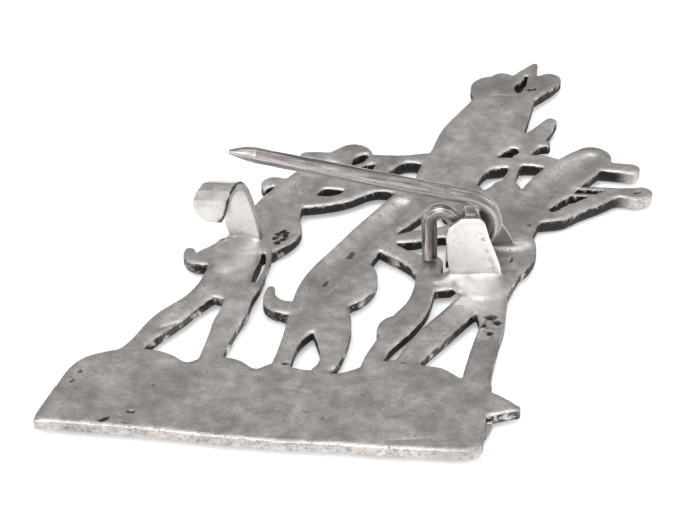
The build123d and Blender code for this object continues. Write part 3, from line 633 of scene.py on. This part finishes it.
# Nickel-silver wire as drawn: satin grey with long dark and pale streaks from the die, a little brown tarnish.
WIRE_LIGHT = "#bfbab8"
WIRE_DARK = "#746f6d"
WIRE_TARNISH = "#3a3432"
drawn = bpy.data.materials.new("nickel_silver_drawn_wire")
drawn.use_nodes = True
tree = drawn.node_tree
tree.nodes.clear()
marks = {name: add(tree, "ShaderNodeAttribute", attribute_name=name).outputs["Fac"]
         for name in ("round_cos", "round_sin", "travel")}
along_wire = add(tree, "ShaderNodeMath", {0: marks["travel"], 1: 0.05}, **TIMES).outputs[0]
where = add(tree, "ShaderNodeCombineXYZ", {0: marks["round_cos"], 1: marks["round_sin"], 2: along_wire}).outputs[0]


def streaks(often, low, high, offset=0.0):
    """Streaks along the wire, finer where they come more often round it, read between two levels."""
    shift = add(tree, "ShaderNodeVectorMath", {0: where, 1: (offset, offset, offset)}, operation="ADD")
    noise = add(tree, "ShaderNodeTexNoise", {"Vector": shift.outputs[0], "Scale": often, "Detail": 4.0,
                                             "Roughness": 0.65})
    level = add(tree, "ShaderNodeMapRange", {"Value": noise.outputs[0], "From Min": low, "From Max": high},
                interpolation_type="SMOOTHSTEP")
    return level.outputs[0]


broad = streaks(1.6, 0.35, 0.65)
fine = streaks(6.0, 0.3, 0.7, 2.0)
tone = add(tree, "ShaderNodeMix", {0: broad, 6: linear(WIRE_DARK), 7: linear(WIRE_LIGHT)},
           data_type="RGBA").outputs[2]
dull = add(tree, "ShaderNodeMath", {0: streaks(3.0, 0.56, 0.7, 5.0), 1: 0.6}, **TIMES).outputs[0]
tone = add(tree, "ShaderNodeMix", {0: dull, 6: tone, 7: linear(WIRE_TARNISH)}, data_type="RGBA").outputs[2]
gloss = add(tree, "ShaderNodeMath", {0: fine, 1: 0.14, 2: 0.17}, **HELD_TIMES_PLUS).outputs[0]
lumps = add(tree, "ShaderNodeMath", {0: fine, 1: 0.4, 2: broad}, **TIMES_PLUS).outputs[0]
bumps = add(tree, "ShaderNodeBump", {"Height": lumps, "Distance": 0.03 * MM, "Strength": 0.8})
shader = add(tree, "ShaderNodeBsdfPrincipled", {"Base Color": tone, "Metallic": 1.0, "Roughness": gloss,
                                                "Normal": bumps.outputs[0]})
add(tree, "ShaderNodeOutputMaterial", {"Surface": shader.outputs[0]})
pin_mesh.materials.append(drawn)
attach(pin, "pin")
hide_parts("pin_wire")

# The table: a plain white sheet on a light table, which glows faintly and washes out most of the shadow.
TABLE_SIZE = 4.0               # metres
SHEET_WHITE = "#f4f4f4"
SHEET_GLOW = 0.3
bpy.ops.mesh.primitive_plane_add(size=TABLE_SIZE)
table = bpy.context.object
table.name = "table"
sheet = bpy.data.materials.new("white_sheet")
sheet.use_nodes = True
for name, value in (("Base Color", linear(SHEET_WHITE)), ("Roughness", 1.0), ("Specular IOR Level", 0.0),
                    ("Emission Color", (1, 1, 1, 1)), ("Emission Strength", SHEET_GLOW)):
    sheet.node_tree.nodes["Principled BSDF"].inputs[name].default_value = value
table.data.materials.append(sheet)

# Studio light: soft boxes high in front, overhead and at both sides, and a grey room whose far side is darker, so
# that faces turned to the camera mirror the white table and the flat back, which mirrors the far side, is grey.
FRONT_ROOM = [(0.0, "#ffffff"), (0.1, "#fafafa"), (0.26, "#d0d0d1"), (0.4, "#bfbfc0"), (1.0, "#cccccc")]
BACK_ROOM = [(0.0, "#f5f5f5"), (0.1, "#e0e0e0"), (0.2, "#8f8f90"), (0.5, "#a3a3a4"), (0.75, "#adadae"),
             (1.0, "#c4c4c4")]
LAMPS = [  # name, x, y, z in metres, size, power in watts
    ("front_box", -0.15, -0.65, 0.9, 0.8, 6.0), ("overhead_box", 0.0, -0.1, 1.0, 0.6, 2.8),
    ("right_box", 0.9, 0.0, 0.5, 0.7, 3.0), ("left_box", -0.9, 0.1, 0.5, 0.5, 1.5),
]
room = bpy.data.worlds.new("studio_room")
room.use_nodes = True
tree = room.node_tree
tree.nodes.clear()
way = add(tree, "ShaderNodeSeparateXYZ", {0: add(tree, "ShaderNodeTexCoord").outputs["Generated"]})
halves = []
for shades in (FRONT_ROOM, BACK_ROOM):
    climb = add(tree, "ShaderNodeValToRGB", {0: way.outputs["Z"]})
    for place, shade in shades:
        climb.color_ramp.elements.new(place).color = linear(shade)
    climb.color_ramp.elements.remove(climb.color_ramp.elements[0])
    climb.color_ramp.elements.remove(climb.color_ramp.elements[-1])
    halves.append(climb.outputs[0])
behind = add(tree, "ShaderNodeMapRange", {"Value": way.outputs["Y"], "From Min": -0.5, "From Max": 0.1})
walls = add(tree, "ShaderNodeMix", {0: behind.outputs[0], 6: halves[0], 7: halves[1]}, data_type="RGBA")
background = add(tree, "ShaderNodeBackground", {"Color": walls.outputs[2], "Strength": 1.0})
add(tree, "ShaderNodeOutputWorld", {"Surface": background.outputs[0]})
bpy.context.scene.world = room
bpy.context.scene.view_settings.view_transform = "Standard"
for name, x, y, z, size, power in LAMPS:
    light = bpy.data.lights.new(name, "AREA")
    light.size = size
    light.energy = power
    lamp = bpy.data.objects.new(name, light)
    lamp.location = (x, y, z)
    lamp.rotation_euler = (-Vector((x, y, z))).to_track_quat("-Z", "Y").to_euler()
    bpy.context.scene.collection.objects.link(lamp)

# The camera stands where the photographer did, low in front of the ground strip.
STAND = (49.855, -163.967, 155.284)  # from the strip's left end, mm
AIM = (-0.09287, 0.77708, -0.62251)
SENSOR = 36.0                  # sensor width and focal length, mm
FOCAL_LENGTH = 123.43
eye = bpy.data.cameras.new("camera")
eye.sensor_width = SENSOR
eye.lens = FOCAL_LENGTH
eye.clip_start = 0.01
camera = bpy.data.objects.new("camera", eye)
camera.location = corner + Vector(STAND) * MM
camera.rotation_euler = Vector(AIM).to_track_quat("-Z", "Y").to_euler()
bpy.context.scene.collection.objects.link(camera)
bpy.context.scene.camera = camera
